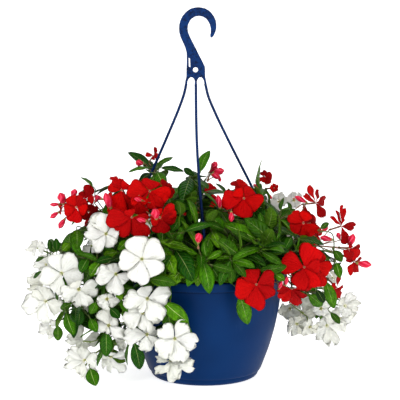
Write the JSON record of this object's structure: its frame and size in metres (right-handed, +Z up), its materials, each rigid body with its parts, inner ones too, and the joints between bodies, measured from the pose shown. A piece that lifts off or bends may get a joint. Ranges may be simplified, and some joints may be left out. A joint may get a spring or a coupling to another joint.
{
  "type": "vinca hanging basket",
  "caption": "Hanging basket of trailing vinca with white and red five-petalled flowers in a round blue pot, hung by a three-strand hanger with a hook.",
  "frame": {"origin": "centre of the flat underside of the pot", "axes": "+Z up the pot towards the hook, +X to the right and -Y towards the viewer, in the plane of the hook X"},
  "size_m": [0.5409, 0.3808, 0.5815],
  "materials": {
    "pot": "satin moulded navy-blue polypropylene",
    "hanger": "semi-gloss moulded blue plastic",
    "potting_mix": "moist, loose bark and peat crumbs",
    "leaf": "waxy, glossy green leaf with a pale midrib",
    "petal_white": "soft matt petal, white with a yellow throat",
    "petal_red": "soft matt petal, scarlet with a small pale throat",
    "bud": "soft matt furled petals, pink-red"
  },
  "bodies": {
    "root": {"pot": "pot", "potting_mix": "potting_mix", "hanger_hook": "hanger", "hanger_strand_front": "hanger", "hanger_strand_left": "hanger", "hanger_strand_right": "hanger", "shoot_front_1": "leaf", "shoot_front_2": "leaf", "shoot_left_1": "leaf", "shoot_left_2": "leaf", "shoot_front_3": "leaf", "shoot_front_4": "leaf", "shoot_left_3": "leaf", "shoot_left_4": "leaf", "shoot_front_5": "leaf", "shoot_right_1": "leaf", "shoot_right_2": "leaf", "shoot_front_6": "leaf", "shoot_right_3": "leaf", "shoot_right_4": "leaf", "shoot_right_5": "leaf", "shoot_top_1": "leaf", "shoot_front_7": "leaf", "shoot_back_1": "leaf", "shoot_back_2": "leaf", "shoot_back_3": "leaf", "shoot_back_4": "leaf", "shoot_back_5": "leaf", "shoot_back_6": "leaf", "shoot_back_7": "leaf", "flowers_white_1": "petal_white", "flowers_white_2": "petal_white", "flowers_white_3": "petal_white", "flowers_white_4": "petal_white", "flowers_white_5": "petal_white", "flowers_white_6": "petal_white", "flowers_white_7": "petal_white", "flowers_white_8": "petal_white", "flowers_red_1": "petal_red", "flowers_red_2": "petal_red", "flowers_red_3": "petal_red", "flowers_red_10": "petal_red", "flowers_red_4": "petal_red", "flowers_red_5": "petal_red", "flowers_red_6": "petal_red", "flowers_red_7": "petal_red", "flowers_red_8": "petal_red", "flowers_red_9": "petal_red", "flowers_white_9": "petal_white", "flowers_white_10": "petal_white", "flowers_white_11": "petal_white", "flowers_white_back_1": "petal_white", "flowers_red_back_1": "petal_red", "flowers_white_back_2": "petal_white", "flowers_red_back_2": "petal_red", "flowers_red_back_3": "petal_red", "flowers_white_back_3": "petal_white", "flowers_red_back_4": "petal_red", "buds_red_top": "bud", "bud_red_front": "bud"}
  },
  "joints": []
}
